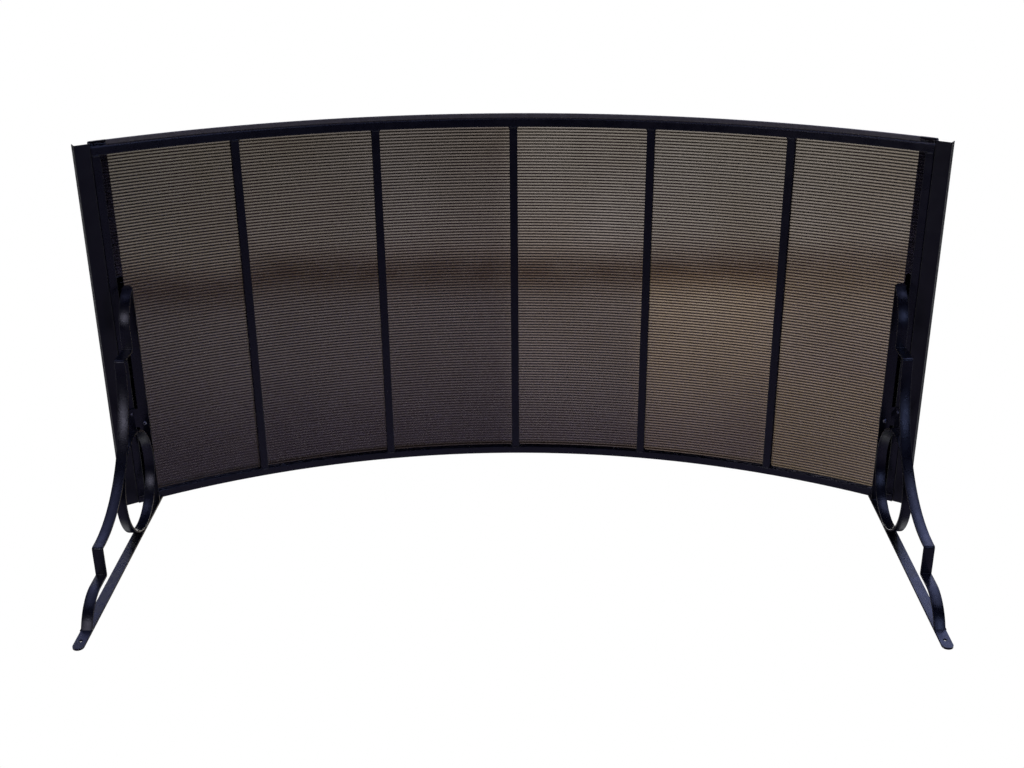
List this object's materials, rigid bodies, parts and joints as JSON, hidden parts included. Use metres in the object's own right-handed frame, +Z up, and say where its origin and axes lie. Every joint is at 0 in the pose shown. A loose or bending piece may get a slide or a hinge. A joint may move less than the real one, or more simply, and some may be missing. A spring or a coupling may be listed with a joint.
{
  "type": "door canopy",
  "caption": "Arched door canopy: a dark metal tube frame with a bronze twin-wall roof sheet, held to the wall by two scrolled brackets.",
  "frame": {"origin": "centre of the four wall fixing holes, on the wall plane", "axes": "+X along the wall, to the right for someone who faces the wall; +Y into the wall; +Z up"},
  "size_m": [2.0234, 0.939, 0.9579],
  "materials": {
    "frame_paint": "black satin powder coat",
    "trim_paint": "dark grey satin paint on folded sheet",
    "bronze_sheet": "bronze-tinted translucent polycarbonate",
    "edge_plastic": "dark grey extruded plastic",
    "washer_rubber": "black sealing rubber",
    "steel_fixings": "zinc-plated",
    "dark_fixings": "black-plated steel"
  },
  "bodies": {
    "root": {"wall_arch_tube": "frame_paint", "front_arch_tube": "frame_paint", "rib_1": "frame_paint", "rib_2": "frame_paint", "rib_3": "frame_paint", "rib_4": "frame_paint", "rib_5": "frame_paint", "end_tube_left": "frame_paint", "end_tube_right": "frame_paint", "wall_bar_left": "frame_paint", "wall_bar_right": "frame_paint", "top_arm_left": "frame_paint", "top_arm_right": "frame_paint", "brace_left": "frame_paint", "brace_right": "frame_paint", "ring_left": "frame_paint", "ring_right": "frame_paint", "lug_left": "frame_paint", "lug_right": "frame_paint", "frame_welds": "frame_paint", "bracket_welds": "frame_paint", "sheet": "bronze_sheet", "front_edge_profile": "edge_plastic", "cover_strip_left": "trim_paint", "rain_channel_left": "trim_paint", "cover_strip_right": "trim_paint", "rain_channel_right": "trim_paint", "cover_screws": "steel_fixings", "channel_rivets": "steel_fixings", "cover_washers": "washer_rubber", "lug_bolts": "dark_fixings", "lug_nuts": "dark_fixings", "lug_screws": "dark_fixings"}
  },
  "joints": []
}
